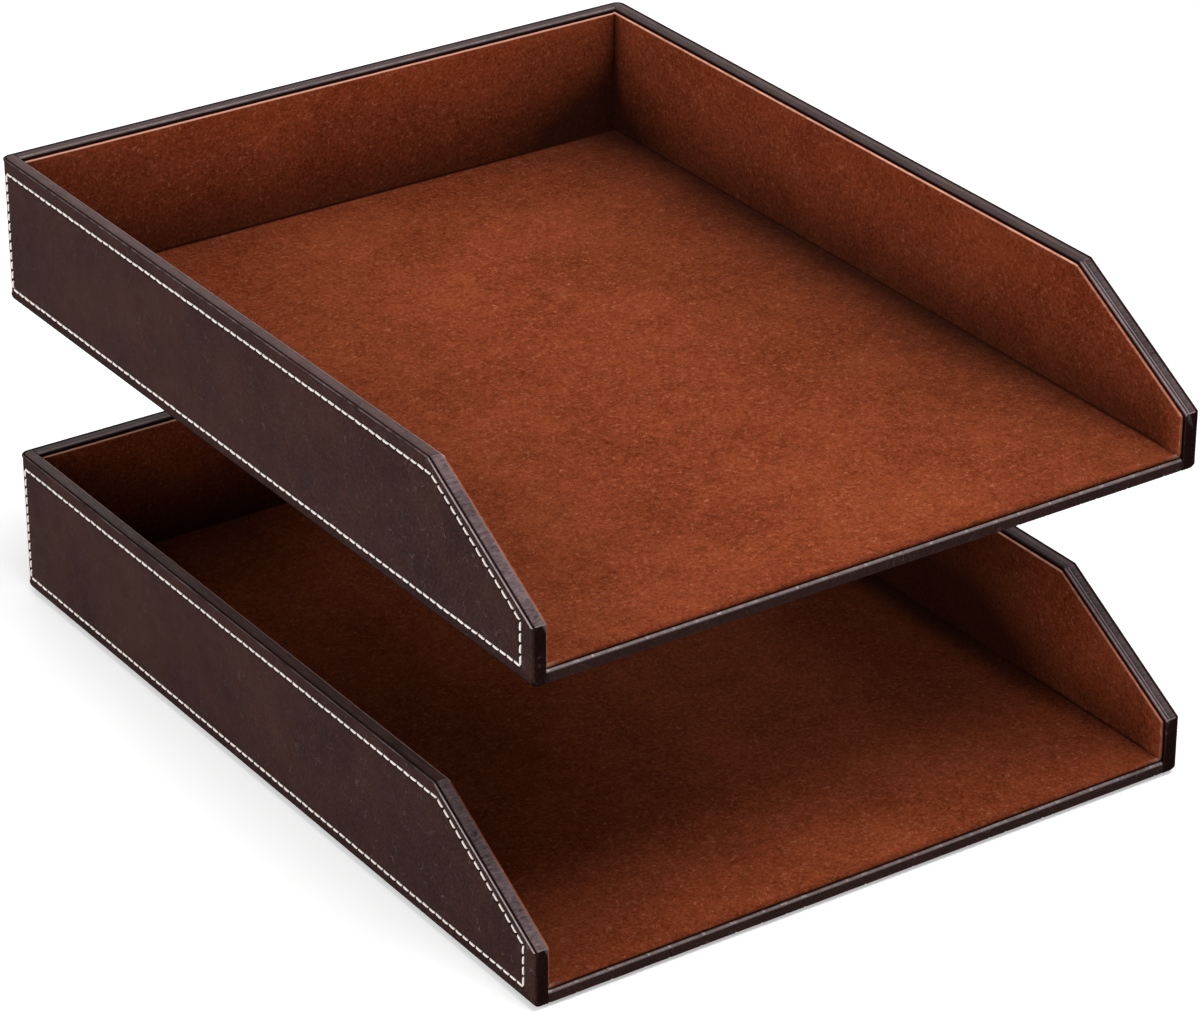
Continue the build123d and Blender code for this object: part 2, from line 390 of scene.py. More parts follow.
def make_plain(name, dark, light, patch, roughness, specular, relief, relief_size, metallic=0.0, sheen=0.0):
    """A finish of two near colours with a fine relief, for hardware, board, felt and thread. patch, relief
    and relief_size are in millimetres."""
    material, tree, shader = new_material(name)
    place = object_place(tree)
    blend = patches(tree, place, patch, 0.0, 1.0, 5.0, 0.65)
    feed(tree, shader, {
        "Base Color": mix_colour(tree, blend, dark, light),
        "Roughness": remap(tree, blend, 0.0, 1.0, roughness - 0.05, roughness + 0.05),
        "Normal": bump(tree, noise(tree, place, relief_size, 3.0, 0.7), relief),
        "Specular IOR Level": specular, "Metallic": metallic, "Sheen Weight": sheen,
    })
    return material


leather_colours = (srgb(38, 22, 24), srgb(63, 38, 31))
rim_colours = (srgb(52, 34, 32), srgb(84, 60, 57))
# A lighter copy of the rim colours, painted light for the sloping rim, which faces the light
lit_slope_colours = (srgb(54, 40, 40), srgb(126, 106, 108))
# Pale colour of wear and painted highlight, and the colour of painted shade
wear_and_highlight_colour = srgb(160, 142, 144)
leather_painted_shade_colour = srgb(14, 8, 8)
outer_leather = make_leather("outer leather", *leather_colours, 0.68, 0.04)
dull_leather = make_leather("dull leather", *leather_colours, 0.9, 0.0)
side_rim_leather = make_leather("side rim leather", *rim_colours, 0.42, 0.12, ribs=(1, 0.1, 1))
back_rim_leather = make_leather("back rim leather", *rim_colours, 0.42, 0.12, ribs=(0.1, 1, 1))
# The rim leather again, painted lighter for the sloping rim
lit_slope_leather = make_leather("slope leather", *lit_slope_colours, 0.45, 0.1, ribs=(0.3, 1, 1))
polished_leather = make_leather("polished leather", *rim_colours, 0.26, 0.45, coat=0.35)
# Suede colours: dark and light nap, flecks, the painted highlight of cut edges, and painted shade
suede = make_suede(
    "suede", srgb(98, 37, 14), srgb(160, 77, 45), srgb(204, 126, 92), srgb(228, 168, 144), srgb(28, 8, 4)
)
thread = make_plain("thread", srgb(255, 240, 234), srgb(255, 247, 240), 2.0, 0.7, 0.7, 0.02, 0.25, sheen=0.7)
board = make_plain("board", srgb(150, 122, 92), srgb(176, 148, 112), 1.2, 0.9, 0.2, 0.05, 0.6)
felt = make_plain("felt", srgb(42, 32, 29), srgb(60, 48, 44), 1.6, 0.95, 0.1, 0.12, 0.5)
powder_coat = make_plain("powder coat", srgb(44, 35, 32), srgb(54, 44, 41), 9.0, 0.5, 0.4, 0.012, 0.45)
black_oxide = make_plain("black oxide", srgb(48, 46, 45), srgb(70, 67, 65), 3.0, 0.38, 0.5, 0.006, 0.5, 1.0)
zinc = make_plain("zinc", srgb(176, 176, 174), srgb(205, 204, 200), 3.0, 0.34, 0.5, 0.005, 0.5, 1.0)
steel_colours = (srgb(150, 148, 145), srgb(186, 184, 180))
turned_steel = make_plain("turned steel", *steel_colours, 4.0, 0.3, 0.5, 0.005, 0.3, 1.0)
nylon = make_plain("nylon", srgb(30, 29, 28), srgb(38, 37, 36), 6.0, 0.5, 0.4, 0.01, 0.8)

cad_finishes = {
    "_board": board,
    "_felt": felt,
    "_bracket": powder_coat,
    "bracket_screws": black_oxide,
    "bracket_nuts": zinc,
    "locating_studs": turned_steel,
    "stud_sockets": nylon,
}
for node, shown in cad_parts.items():
    for ending, finish in cad_finishes.items():
        if node.endswith(ending):
            shown.data.materials.clear()
            shown.data.materials.append(finish)


# Seams: corners as (run along the face, height), and the number of stitches on each side
def side_seam():
    """Corners of a side face's seam, from its front bottom upwards, and its counts of stitches."""
    front = -half_depth + seam_from_front
    rear = half_depth - seam_from_rear
    front_top = slope_height(front) - seam_from_slope / math.cos(slope_angle)
    kink = front + (seam_top - front_top) / math.tan(slope_angle)
    corners = [
        (front, seam_bottom), (front, front_top), (kink, seam_top), (rear, seam_top), (rear, seam_bottom),
    ]
    slope_count = round(math.dist(corners[1], corners[2]) / stitch_pitch)
    flat_count = round((rear - kink) / stitch_pitch)
    front_count = round((front_top - seam_bottom) / stitch_pitch)
    rear_count = front_count * round((seam_top - seam_bottom) / (front_count * stitch_pitch))
    return corners, [front_count, slope_count, flat_count, rear_count, slope_count + flat_count]


def back_seam():
    """Corners of the back face's seam, from its left bottom, and its counts of stitches."""
    side = half_width - back_seam_from_side
    corners = [(-side, seam_bottom), (-side, seam_top), (side, seam_top), (side, seam_bottom)]
    across = round(2 * side / stitch_pitch)
    upright = side_seam()[1][3]
    return corners, [upright, across, upright, across]


# Seam of each face, which way the face's own run goes, and where that run starts on the way round
faces = {
    "left": (side_seam(), 1, half_depth),
    "back": (back_seam(), 1, whole / 2),
    "right": (side_seam(), -1, whole - half_depth),
}


def seam_relief(run, height, corners, counts):
    """Depth of the channel and needle holes that stitches pull into a face, and painted shade along it."""
    nearest = np.full(run.shape, np.inf)
    to_hole = np.full(run.shape, np.inf)
    for start, end, count in zip(corners, corners[1:] + corners[:1], counts):
        side = np.subtract(end, start)
        ahead, up = run - start[0], height - start[1]
        share = np.clip((ahead * side[0] + up * side[1]) / (side @ side), 0, 1)
        hole = np.round(share * count) / count
        nearest = np.minimum(nearest, np.hypot(ahead - share * side[0], up - share * side[1]))
        to_hole = np.minimum(to_hole, np.hypot(ahead - hole * side[0], up - hole * side[1]))
    channel = np.exp(-(nearest / channel_reach) ** 2)
    relief = channel_depth * channel + hole_depth * np.exp(-(to_hole / hole_reach) ** 2)
    return relief, seam_painted_shade * channel


def place_round_tray(run, height, depth):
    """Points of the outer leather: run is the way round the outside, from the left front corner."""
    mirrored = run > whole / 2
    run = np.minimum(run, whole - run)
    reach = corner_radius - depth
    turn = np.clip((run - straight) / corner_radius, 0, math.pi / 2)
    x = corner_radius - half_width - reach * np.cos(turn) + np.maximum(run - straight - arc, 0)
    y = half_depth - corner_radius + reach * np.sin(turn) + np.minimum(run - straight, 0)
    deep = depth > corner_radius
    x = np.where(deep, np.maximum(x, depth - half_width), x)
    y = np.where(deep, np.minimum(y, half_depth - depth), y)
    return np.stack([np.where(mirrored, -x, x), y, height + 0 * x], axis=-1)


def face_columns():
    """Guide lines of the outer leather, column by column: run at the seam's bottom, run and height at the
    seam's top, run and height at the rim, and the way in from the rim."""
    corners, counts = side_seam()
    (front, front_top), (kink, _), (rear, _) = corners[1:4]
    margin = np.array([0, 0.08, 0.2, 0.4, 0.8, 1.6, 3.0, 4.4, 5.2, 5.7, 6.2])
    slope = np.linspace(0, 1, counts[1] * columns_per_stitch + 1)
    flat = np.linspace(0, 1, counts[2] * columns_per_stitch + 1)[1:]
    at_front = margin - half_depth
    low = [at_front, np.linspace(front, rear, len(slope) + len(flat))]
    top_run = [at_front, front + slope * (kink - front), kink + flat * (rear - kink)]
    top_height = [front_top + 0 * margin, front_top + slope * (seam_top - front_top), seam_top + 0 * flat]
    rim_run = [at_front, front + slope * (rim_kink - front), rim_kink + flat * (rear - rim_kink)]
    low, top_run, top_height, rim_run = map(np.concatenate, (low, top_run, top_height, rim_run))
    rise = np.minimum(slope_height(rim_run), tray_height)
    at_kink = np.isclose(rim_run, rim_kink)
    on_slope = ~at_kink & (rim_run < rim_kink)
    in_run = math.sin(slope_angle) * on_slope + math.tan(slope_angle / 2) * at_kink
    in_rise = np.where(on_slope, -math.cos(slope_angle), -1.0)
    side = np.stack([low, top_run, top_height, rim_run, rise, in_run, in_rise])
    side[[0, 1, 3]] += half_depth
    seam_columns = back_seam()[1][1] * columns_per_stitch + 1
    beside_seam = back_seam_from_side - corner_radius
    before_seam = np.linspace(0, beside_seam, 7)[1:-1]
    back_start = straight + arc
    back_end = back_start + back
    run = np.concatenate([
        np.linspace(straight, back_start, 9),
        back_start + before_seam,
        np.linspace(back_start + beside_seam, back_end - beside_seam, seam_columns),
        back_end - before_seam[::-1],
        np.linspace(back_end, back_end + arc, 9),
    ])
    rear_part = np.stack(np.broadcast_arrays(run, run, seam_top, run, tray_height, 0, -1))
    other = side[:, ::-1].copy()
    other[[0, 1, 3]] = whole - other[[0, 1, 3]]
    other[5] *= -1
    return np.concatenate([side, rear_part, other], axis=1), len(rise)


# Profile of the outer leather's bead: how far below the rim and how far in from the outside it runs.
# Its shoulder, the flat between the two rows that take wear and painted highlight, faces outwards and up.
bead_profile = (
    (1.0, 0.8, 0.66, 0.56, 0.46, 0.39, 0.33, 0.06, 0.03, 0.0, 0.03, 0.12, 0.3, 0.6, 1.0),
    (0.2, 0.08, 0.02, 0.0, 0.0, 0.02, 0.05, 0.36, 0.42, 0.52, 0.68, 0.82, 0.92, 0.98, 1.0),
)
bead_shoulder = (6, 7)
# Painted shade across the bead's rows, dark in its groove and outline; the back and right side have their own
# inner rows
bead_shade = (0.9, 0.7, 0.4, 0.4, 0.5, 0.6, 0.0, 0.0, 0.7, 0.2, 0.2, 0.6, 0.9, 0.9, 0.9)
back_bead_shade = (0.4, 0.55, 0.6, 0.8, 0.9, 0.9)
right_bead_shade = (0.2, 0.1, 0.2, 0.5, 0.8, 0.9)


def make_outer_band(seed):
    """The outer leather: rolled under at the bottom, stitched, and beaded along the rim."""
    columns, side_count = face_columns()
    low, top_run, top_height, rim_run, rise, in_run, in_rise = (line[:, None] for line in columns)
    turn = np.linspace(0, math.pi / 2, 8)
    roll_depth = bottom_radius * (1 - np.sin(turn))
    roll_height = bottom_radius * (1 - np.cos(turn))
    strip = np.linspace(bottom_radius, seam_bottom, 4)[1:-1]
    share = np.linspace(0, 1, side_seam()[1][3] * columns_per_stitch + 1)
    seam_run = low + share * (top_run - low)
    seam_height = seam_bottom + share * (top_height - seam_bottom)
    share = np.linspace(0, 1, 7)[1:]
    upper_run = top_run + share * (rim_run + bead_width * in_run - top_run)
    upper_height = top_height + share * (rise + bead_width * in_rise - top_height)
    bead_in, bead_depth = np.array(bead_profile)
    run, height, depth = join_rows(low, [
        (low, 0, wall_thickness),
        (low, roll_height, roll_depth),
        (low, strip, 0),
        (seam_run, seam_height, 0),
        (upper_run, upper_height, 0),
        (rim_run + bead_in * in_run, rise + bead_in * in_rise, bead_depth),
    ])
    face = slice(1 + len(turn), run.shape[1] - len(bead_in))
    depth[:, face] += face_depth * smooth_step((height[:, face] - bottom_radius + 0.4) / 1.1)
    depth[:, face] += 0.04 * (1 + ripple(run[:, face], height[:, face], seed, 60, 12))
    back_columns, right_columns = slice(side_count, -side_count), slice(-side_count, None)
    parts = {"left": slice(0, side_count), "back": back_columns, "right": right_columns}
    # Painted shade along the rolled bottom edge, under the tray
    painted_shade = 0.95 * (1 - smooth_step((height - 0.8) / 3.0))
    from_front = np.minimum(run, whole - run)
    # A little darker towards the front, through the painted shade mark
    painted_shade[:, face] += 0.12 * (1 - smooth_step(from_front[:, face] / 160))
    # Painted shade over the bead's rows
    painted_shade[:, face.stop:] = bead_shade
    painted_shade[back_columns, face.stop + 9:] = back_bead_shade
    painted_shade[right_columns, face.stop + 9:] = right_bead_shade
    for name, part in parts.items():
        seam, way, start = faces[name]
        relief, dark = seam_relief(way * (run[part, face] - start), height[part, face], *seam)
        depth[part, face] += relief
        # Painted shade along the stitch channel
        painted_shade[part, face] = np.maximum(painted_shade[part, face], dark)
    outside = slice(1, run.shape[1] - 5)
    depth[:, outside] = np.maximum(depth[:, outside], edge_round(from_front[:, outside], front_edge_radius))
    under = slice(0, face.start)
    lifted = edge_round(from_front[:, under], lip_radius)
    height[:, under] += lifted * (1 - height[:, under] / bottom_radius)
    run, height, depth = join_rows(low, [
        (run, height, depth),
        (rim_run + 4.0 * in_run, rise - 4.0, band_thickness),
        (low, band_thickness + 1.5, band_thickness),
        (low, band_thickness, band_thickness + 1.5),
        (low, band_thickness, wall_thickness),
    ])
    painted_shade = np.concatenate([painted_shade, np.zeros_like(run[:, painted_shade.shape[1]:])], axis=1)
    wear_and_highlight = np.zeros_like(run)
    on_slope = np.minimum(run, whole - run) < slope_run
    # Painted highlight, with some edge wear, on the bead's shoulder, much stronger along the sloping rim
    for row in bead_shoulder:
        highlight_row = face.stop + row
        highlight_ripple = 0.3 * ripple(run[:, highlight_row], height[:, highlight_row], seed + 1, 30, 4)
        wear_and_highlight[:, highlight_row] = 0.2 + 0.75 * on_slope[:, highlight_row] + highlight_ripple
    finish = np.zeros(run.shape, int)[:-1]
    finish[on_slope[:-1, 0], face.stop + bead_shoulder[0]] = 1
    finish[:, :6] = 2
    shape = Shape()
    shape.add_loft(place_round_tray(run, height, depth), wear_and_highlight, painted_shade, finish)
    return shape


def wall_section(station, outer, inner, top, bottom, outer_radius, inner_radius, foot, rows):
    """Corners of an upright sheet's section at each station: its outer face, a rim with two rounded edges,
    its inner face in rows, given as shares of its height, and a bevelled outer foot."""
    turn = np.linspace(0, math.pi / 2, 5)
    side = np.sign(inner - outer)
    width = np.abs(inner - outer)
    ease_in = 1 - np.cos(turn)
    ease_down = 1 - np.sin(turn)
    flat = np.linspace(0, 1, 9)[1:-1]
    return join_rows(station, [
        (outer, top - rim_turn),
        (outer + side * outer_radius * ease_in, top - outer_radius * ease_down),
        (outer + side * (outer_radius + flat * (width - outer_radius - inner_radius)), top),
        (inner - side * inner_radius * ease_in[::-1], top - inner_radius * ease_down[::-1]),
        (inner, bottom + np.array(rows) * (top - inner_radius - bottom)),
        (outer + side * foot, bottom),
        (outer, bottom + foot),
    ])


# Corners of such a section, from the outside in
outer_side = slice(0, 4)
outer_edge = slice(4, 6)
crown = slice(6, 13)
inner_edge = slice(14, 17)
inner_side = slice(17, 20)
back_highlight_corners = slice(12, 16)
rim_face = slice(6, 17)
# Faces between those corners that have the rim's own finish
rim_faces = slice(5, 16)
# Radius of a sheet's outer and of its inner edge, size of its foot's bevel, and its inner face's rows
side_cover_form = (0.3, 0.8, 1.5, (0.9, 0.0))
back_cover_form = (0.3, 0.7, 1.5, (0.9, 0.0))
lining_form = (0.45, 0.45, 0.0, (0.9, 0.8, 0.7, 0.6, 0.5, 0.4, 0.31, 0.23, 0.16, 0.1, 0.05, 0.022, 0.01, 0.0))
crown_dome = 0.12
# Painted shade and painted highlight over a rim's visible part, from the outside in
left_rim_shade = (0.35, 0.1, 0.0, 0.0, 0.0, 0.0, 0.0, 0.0, 0.0, 0.0, 0.3)
right_rim_shade = (0.3, 0.1, 0.0, 0.1, 0.3, 0.5, 0.6, 0.6, 0.4, 0.5, 0.6)
back_rim_shade = (0.8, 0.6, 0.5, 0.35, 0.2, 0.05, 0.0, 0.0, 0.1, 0.4, 0.7)
right_slope_shade = (0.45, 0.45, 0.45, 0.5, 0.9, 0.0, 0.75, 0.75, 0.0, 0.05, 0.2)
right_slope_highlight = (0.0, 0.0, 0.0, 0.0, 0.0, 1.0, 0.0, 0.0, 0.9, 0.3, 0.0)


def round_crown(x, y, z, seed):
    """Bows the flat top of a section, highest along its middle and a little uneven."""
    z[:, 1:18] -= crown_dome
    z[:, crown] += crown_dome * (1 - np.linspace(-1, 1, 7) ** 2)
    z[:, crown] -= 0.04 * (1 + ripple(x[:, crown], y[:, crown], seed, 40, 5))


def painted_cover_shade(places, over_rim, at_edge):
    """Painted shade of a wall's cover, given for its rim and its outer edge, and dark beside them."""
    painted_shade = np.zeros_like(places)
    painted_shade[:, rim_face] = over_rim
    painted_shade[:, outer_side] = painted_shade[:, inner_side] = 0.9
    painted_shade[:, outer_edge] = at_edge
    return painted_shade


def side_stations(front, rear, slope_step, flat_step):
    """Depths at which a side sheet is drawn, close together at its front edge and at the rim's kink."""
    slope = np.arange(front + 1.0, rim_kink - 0.5, slope_step)
    flat = np.linspace(rim_kink + 0.8, rear, round((rear - rim_kink) / flat_step))
    at_front = front + np.array([0.0, 0.05, 0.14, 0.27, 0.4, 0.6, 0.8])
    at_kink = rim_kink + np.array([-0.4, -0.15, 0.0, 0.15, 0.4])
    return np.concatenate([at_front, slope, at_kink, flat])[:, None]


def close_ends(low, high, step):
    """Even steps between two ends, with some closer ones at each end."""
    near = np.array([0.0, 0.25, 0.55, 1.0])
    middle = np.linspace(low + 2, high - 2, round((high - low - 4) / step))
    return np.concatenate([low + near, middle, high - near[::-1]])


def soft_rim(along, inset, blend=0.35):
    """Rim height drawn in by an inset, with its corner at the kink a little eased."""
    slope = slope_height(along) - inset / math.cos(slope_angle)
    flat = tray_height - inset
    eased = np.clip(1 - np.abs(flat - slope) / blend, 0, 1)
    return np.minimum(slope, flat) - 0.06 * eased


def make_side_cover(side, seed):
    """Thin leather round a side wall's board, ribbed across along its sloping rim."""
    bend = half_depth - corner_radius
    inner_corner = corner_radius - band_thickness
    turn = np.linspace(0, math.pi / 2, 7)[1:, None]
    y = np.concatenate([side_stations(-half_depth, bend, 0.4, 1.5), bend + inner_corner * np.sin(turn)])
    outer = half_width - band_thickness + 0 * y
    outer[-len(turn):] -= inner_corner * (1 - np.cos(turn))
    from_front = y + half_depth
    rounding = edge_round(from_front, 0.6)
    top = soft_rim(y, 0.0) - edge_round(from_front, 0.4)
    inner = inner_half_width + rounding
    x, z = wall_section(y, side * (outer - rounding), side * inner, top, band_thickness, *side_cover_form)
    along = y + 0 * x
    round_crown(x, along, z, seed)
    on_slope = smooth_step((slope_run - from_front) / 1.0)
    ribs = ripple(0.6 * x[:, crown], along[:, crown], seed + 1, 3.2, 0.8, 12)
    z[:, crown] -= 0.07 * (1 + ribs) * on_slope
    wear_and_highlight = np.zeros_like(x)
    # Painted highlight along the left cover's inner edge, uneven; very little on the right cover's
    highlight_ripple = 0.25 * ripple(x[:, inner_edge], along[:, inner_edge], seed + 2, 24, 4)
    wear_and_highlight[:, inner_edge] = 0.5 + highlight_ripple if side < 0 else 0.05
    at_end = from_front[:, 0] < 0.1
    fold = ~at_end & (from_front[:, 0] < 0.35)
    # Painted shade over the flat rim; on the right cover, painted highlight lines and painted shade over the
    # sloping rim
    rim_shade = np.array(left_rim_shade if side < 0 else right_rim_shade)
    painted_shade = painted_cover_shade(x, rim_shade * (1 - on_slope), 0.3)
    if side > 0:
        z[:, 10] -= 0.15 * on_slope[:, 0]
        wear_and_highlight[:, rim_face] += on_slope * right_slope_highlight
        painted_shade[:, rim_face] += on_slope * right_slope_shade
    # Painted highlight on the fold at the front, painted shade on the end face and inner side, and a painted
    # highlight down the left end face's inner edge
    wear_and_highlight[fold, 5:17] = 0.7
    painted_shade[:, inner_side.start] -= 0.35 * on_slope[:, 0]
    painted_shade[fold] = 0.0
    painted_shade[at_end] = 0.72
    if side < 0:
        painted_shade[at_end, 13:18] = 0.0
        wear_and_highlight[at_end, 14:18] = 0.3
    finish = np.ones(x.shape, int)[:-1]
    finish[:, rim_faces] = 0
    # The sloping rim takes the lighter copy of the rim leather: painted light
    finish[from_front[:-1, 0] < slope_run, rim_faces] = 2
    finish[at_end[:-1]] = 3
    finish[:, inner_side] = 3
    return lofted(x, along, z, wear_and_highlight, painted_shade, finish, 3, side > 0)


def make_back_cover(seed):
    """Thin leather round the back wall's board."""
    x = np.linspace(-inner_half_width, inner_half_width, round(2 * inner_half_width / 1.5) + 1)[:, None]
    outer = half_depth - band_thickness
    y, z = wall_section(x, outer, inner_rear, tray_height, band_thickness, *back_cover_form)
    along = x + 0 * y
    round_crown(along, y, z, seed)
    wear_and_highlight = np.zeros_like(y)
    # Painted highlight along the rim's inner edge, and painted shade over the rim
    wear_and_highlight[:, back_highlight_corners] = 0.5 + 0.25 * ripple(along[:, back_highlight_corners], y[:, back_highlight_corners], seed + 2, 24, 4)
    finish = np.ones(y.shape[1], int)
    finish[rim_faces] = 0
    return lofted(x, y, z, wear_and_highlight, painted_cover_shade(y, back_rim_shade, 0.5), finish)


def make_base_cover(seed):
    """Thin leather round the base board. Its front edge is the lip: a creased roll with a polished crest,
    and a groove between the crest and the floor lining."""
    rng = np.random.default_rng(seed)
    x = np.linspace(-inner_half_width, inner_half_width, 741)[:, None]
    over = np.linspace(0, math.pi / 2, 11)
    under = np.linspace(0, math.pi / 2, 8)
    y, z, out_y, out_z = join_rows(x, [
        (lip_crest * (1 - np.sin(over)) - half_depth, panel_thickness - lip_shoulder * (1 - np.cos(over)),
         -np.sin(over), np.cos(over)),
        (lip_radius * (1 - np.cos(under)) - half_depth, lip_radius * (1 - np.sin(under)),
         -np.cos(under), -np.sin(under)),
    ])
    inset = 0.05 * (1 + ripple(x, z, seed + 3, 60, 9))
    inset += 0.35 * np.exp(-((inner_half_width - np.abs(x)) / 0.5) ** 2)
    painted_glints = np.zeros_like(x)
    for centre in np.cumsum(rng.uniform(6, 17, 26)) - inner_half_width - 3:
        slant, depth, width = rng.uniform(-0.6, 0.6), rng.uniform(0.08, 0.26), rng.uniform(0.25, 0.5)
        shift = x - centre - slant * (z - panel_thickness / 2)
        inset += depth * np.exp(-(shift / width) ** 2) - 0.25 * depth * np.exp(-(shift / 3 / width) ** 2)
        # A painted glint beside each crease
        painted_glints += rng.uniform(0.3, 1.0) * np.exp(-((x - centre - 1.6 * width) / 0.3) ** 2)
    inset = np.clip(inset, 0, 0.45)
    groove_from_edge = np.array([3.0, 2.0, floor_setback, lip_crest + 0.3, lip_crest + 0.15])
    groove_down = np.array([0.0, lip_groove, lip_groove, 0.5 * lip_groove, 0.03])
    y, z = join_rows(x, [
        (inner_rear, panel_thickness),
        (groove_from_edge - half_depth, panel_thickness - groove_down),
        (y - inset * out_y, z - inset * out_z),
        (8 - half_depth, 0),
        (inner_rear, 0),
    ])
    groove, crest, polished = slice(0, 6), slice(6, 12), slice(5, 13)
    # Painted highlight at the lip's ends and along its crest; painted shade over the rest of the lip and in
    # its groove
    painted_glints += 0.9 * np.exp(-((inner_half_width - np.abs(x) - 0.7) / 0.35) ** 2)
    wear_and_highlight = np.zeros_like(y)
    wear_and_highlight[:, crest] = 0.35 + 0.3 * ripple(x, 0 * x, seed + 4, 40, 3) + painted_glints
    painted_shade = 0.35 + 0 * y
    painted_shade[:, groove] = 0.8
    painted_shade[:, crest] = 0.0
    finish = np.zeros(y.shape[1], int)
    finish[polished] = 1
    return lofted(x, y, z, wear_and_highlight, painted_shade, finish)


def painted_corner_shade(distance, reach, most):
    """Painted shade on suede, deepening towards a joint, with a crisp dark line along the joint."""
    distance = np.maximum(distance, 0)
    return most * np.exp(-distance / reach) + 0.8 * np.exp(-(distance / 0.5) ** 2)


def painted_wall_shade(up, across, most, rise, reach):
    """Painted shade on a wall's suede, from the height over the floor and the distance from a corner."""
    low = most * np.exp(-(up / rise) ** 2)
    corner = (2.2 * most - 0.85) * np.exp(-(across / reach) ** 2 - (up / 40) ** 2)
    return low + corner + painted_corner_shade(across, 3.5, 0.45) + 0.8 * np.exp(-(up / 0.5) ** 2)


# Painted highlight on a side lining's rounded top along the slope, from the outside in
slope_lining_highlight = (0.3, 0.6, 0.8, 0.8, 0.7, 0.6, 0.5, 0.4, 0.3, 0.2)


def make_side_lining(side, seed, lower):
    """Suede-covered card on a side wall, ragged along its front edge. The lower tray's has painted shadow
    towards the back, under the upper tray."""
    y = side_stations(lining_front, inner_rear, 0.8, 2.0)
    inset = tray_height - lining_top
    from_front = y - lining_front
    top = soft_rim(y, inset) - edge_round(from_front, 0.5) - 0.05 * (1 + ripple(y, 0 * y, seed, 30, 3))
    inner = inner_half_width - lining_thickness + edge_round(from_front, 0.5)
    x, z = wall_section(y, side * inner_half_width, side * inner, top, floor_top, *lining_form)
    along = y + 0.16 * (1 + ripple(z, x, seed + 1, 5, 0.8)) * np.exp(-from_front / 0.6)
    wear_and_highlight = np.zeros_like(x)
    # Painted highlight along the rounded top, uneven, and less along the sloping part
    wear_and_highlight[:, 8:17] = 0.85
    wear_and_highlight[y[:, 0] < rim_kink, 7:17] = slope_lining_highlight
    wear_and_highlight *= 0.9 + 0.6 * ripple(y, z, seed + 3, 3, 0.7)
    wear_and_highlight *= 1 - (0.6 if side < 0 else 0.2) * smooth_step((slope_run - from_front) / 2)
    # Painted highlight along the ragged front edge
    front_highlight = 0.1 + 0.6 * ripple(z, x, seed + 2, 5, 0.8)
    wear_and_highlight[:, 15:] = np.maximum(wear_and_highlight, front_highlight * (from_front < 0.2))[:, 15:]
    # Painted shade near the floor and back corner, over all the upper tray's lining, and painted shadow
    # towards the back of the lower tray's
    painted_shade = painted_wall_shade(z - floor_top, inner_rear - lining_thickness - along, 0.5, 18, 30)
    painted_shade += 0.1 + 0.65 * smooth_step((from_front - 40) / 70) if lower else 0.2
    painted_shade[:, :16] = 0.0
    painted_shade = np.clip(painted_shade, 0, 0.92) * (0.3 + 0.7 * smooth_step(from_front / 12))
    # The front end: faint painted highlight, and painted shade on its outer part
    wear_and_highlight[0] = 0.15
    painted_shade[0, :9] = 0.8
    return lofted(x, along, z, wear_and_highlight, painted_shade, flip=side > 0)


def make_back_lining(seed, lower):
    """Suede-covered card on the back wall. The lower tray's has painted shadow under the upper tray."""
    half_length = inner_half_width - lining_thickness
    x = close_ends(-half_length, half_length, 2.0)[:, None]
    top = lining_top - 0.05 * (1 + ripple(x, 0 * x, seed, 30, 3))
    y, z = wall_section(x, inner_rear, inner_rear - lining_thickness, top, floor_top, *lining_form)
    wear_and_highlight = np.zeros_like(y)
    # Painted highlight along the rounded top; painted shade near the floor and the corners
    wear_and_highlight[:, 9:17] = 0.85
    painted_shade = painted_wall_shade(z - floor_top, half_length - np.abs(x), 0.68, 22, 34)
    if lower:
        painted_shade += 0.2 * smooth_step((half_length + x - 15) / 60)
    painted_shade[:, :16] = 0.0
    return lofted(x, y, z, wear_and_highlight, np.clip(painted_shade, 0, 0.92))


def make_floor_lining(seed):
    """Suede-covered card on the base, ending just behind the lip."""
    edge = inner_half_width - lining_thickness
    x = np.concatenate([[-inner_half_width], close_ends(-edge, edge, 1.0), [inner_half_width]])[:, None]
    turn = np.linspace(0, math.pi / 2, 6)
    radius = 0.6
    front = floor_front + 0.1 + 0.06 * (1 + ripple(x, 0 * x, seed, 40, 1.5))
    from_rear = np.array([0.0, 1.2, 1.45, 1.75, 2.2, 3.0, 4.5, 7.0, 11.0, 16.0, 23.0, 32.0, 45.0, 70.0, 110.0,
                          160.0, 210.0, 250.0, 275.0, 295.0, 305.0, 315.0, 318.5, 320.0, 321.0, 322.0])
    y, z = join_rows(x, [
        (inner_rear - from_rear, floor_top),
        (front + radius * (1 - np.sin(turn)), floor_top - radius * (1 - np.cos(turn))),
        (front, panel_thickness),
        (inner_rear, panel_thickness),
    ])
    from_corner = edge - np.abs(x)
    from_front = y + half_depth
    from_lip = from_front - floor_setback
    wear_and_highlight = np.zeros_like(y)
    # Painted highlight along the front edge, near the corners
    front_edge = slice(-8, -1)
    wear_and_highlight[:, front_edge] = 0.6 * np.exp(-np.maximum(from_corner, 0) / 1.8)
    # Painted shade near the walls and back, faded out at the lip, and dark along the lip's groove
    painted_shade = painted_corner_shade(from_corner, 36.0, 0.95) * (0.42 + 0.58 * smooth_step(from_front / 115))
    painted_shade *= 1 - 0.2 * smooth_step((y - 60) / 90)
    painted_shade += painted_corner_shade(inner_rear - lining_thickness - y, 30.0, 0.28)
    painted_shade *= smooth_step(from_lip / 3)
    painted_shade += 0.35 * (1 - smooth_step(from_lip / 2.6))
    painted_shade[:, -2:] = 0.7
    return lofted(x, y, z, wear_and_highlight, np.clip(painted_shade, 0, 0.9))


